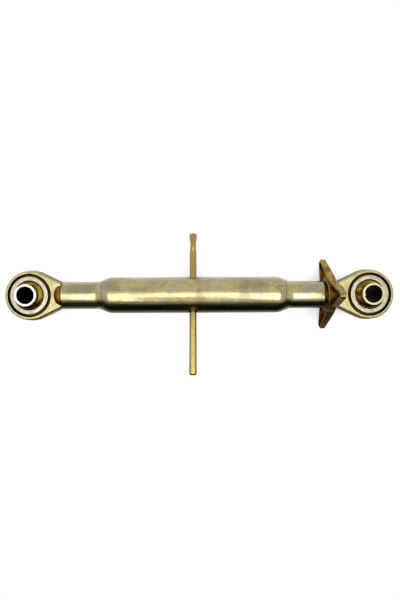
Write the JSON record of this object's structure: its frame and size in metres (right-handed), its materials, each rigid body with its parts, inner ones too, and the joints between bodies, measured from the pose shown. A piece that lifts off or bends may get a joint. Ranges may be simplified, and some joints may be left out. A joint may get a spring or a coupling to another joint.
{
  "type": "tractor top link",
  "caption": "Turnbuckle top link with forged swivel-ball eye ends, a winged lock nut and a sliding tommy bar.",
  "frame": {"origin": "centre of the tractor end's swivel ball, on the middle of its cross bore", "axes": "+X along the link towards the implement end, +Z along the swivel balls' cross bores, +Y to the left of +X"},
  "size_m": [0.453, 0.1682, 0.0771],
  "materials": {
    "barrel_zinc": "satin",
    "forging_zinc": "matte",
    "race_steel": "satin",
    "ball_steel": "satin",
    "nut_zinc": "matte",
    "bar_zinc": "satin"
  },
  "bodies": {
    "tractor_end": {"tractor_eye_end": "forging_zinc", "tractor_race": "race_steel"},
    "implement_end": {"implement_eye_end": "forging_zinc", "implement_race": "race_steel"},
    "locking_nut": {"lock_nut": "nut_zinc"},
    "barrel": {"barrel_tube": "barrel_zinc"},
    "bar": {"tommy_bar": "bar_zinc"},
    "ball_at_tractor": {"tractor_ball": "ball_steel"},
    "ball_at_implement": {"implement_ball": "ball_steel"}
  },
  "joints": [
    {"name": "implement_end_slide", "type": "slide", "parent": "tractor_end", "child": "implement_end", "axis": [1, 0, 0], "range_m": [0, 0.18]},
    {"name": "lock_nut_slide", "type": "slide", "parent": "implement_end", "child": "locking_nut", "axis": [-1, 0, 0], "range_m": [0, 0.09]},
    {"name": "barrel_turn", "type": "hinge", "parent": "locking_nut", "child": "barrel", "pos_m": [0.1895, 0, 0], "axis": [-1, 0, 0], "range_deg": [0, 10800]},
    {"name": "tommy_bar_slide", "type": "slide", "parent": "barrel", "child": "bar", "axis": [0, -0.9613, 0.2756], "range_m": [-0.066, 0.033]},
    {"name": "tractor_ball_swivel", "type": "hinge", "parent": "tractor_end", "child": "ball_at_tractor", "pos_m": [0, 0, 0], "axis": [0, 1, 0], "range_deg": [-14, 14]},
    {"name": "implement_ball_swivel", "type": "hinge", "parent": "implement_end", "child": "ball_at_implement", "pos_m": [0.394, 0, 0], "axis": [0, 1, 0], "range_deg": [-14, 14]}
  ],
  "couplings": [
    {"joint": "barrel_turn", "follows": "implement_end_slide", "rad_per_m": 1047.2},
    {"joint": "lock_nut_slide", "follows": "implement_end_slide", "ratio": 0.5}
  ]
}
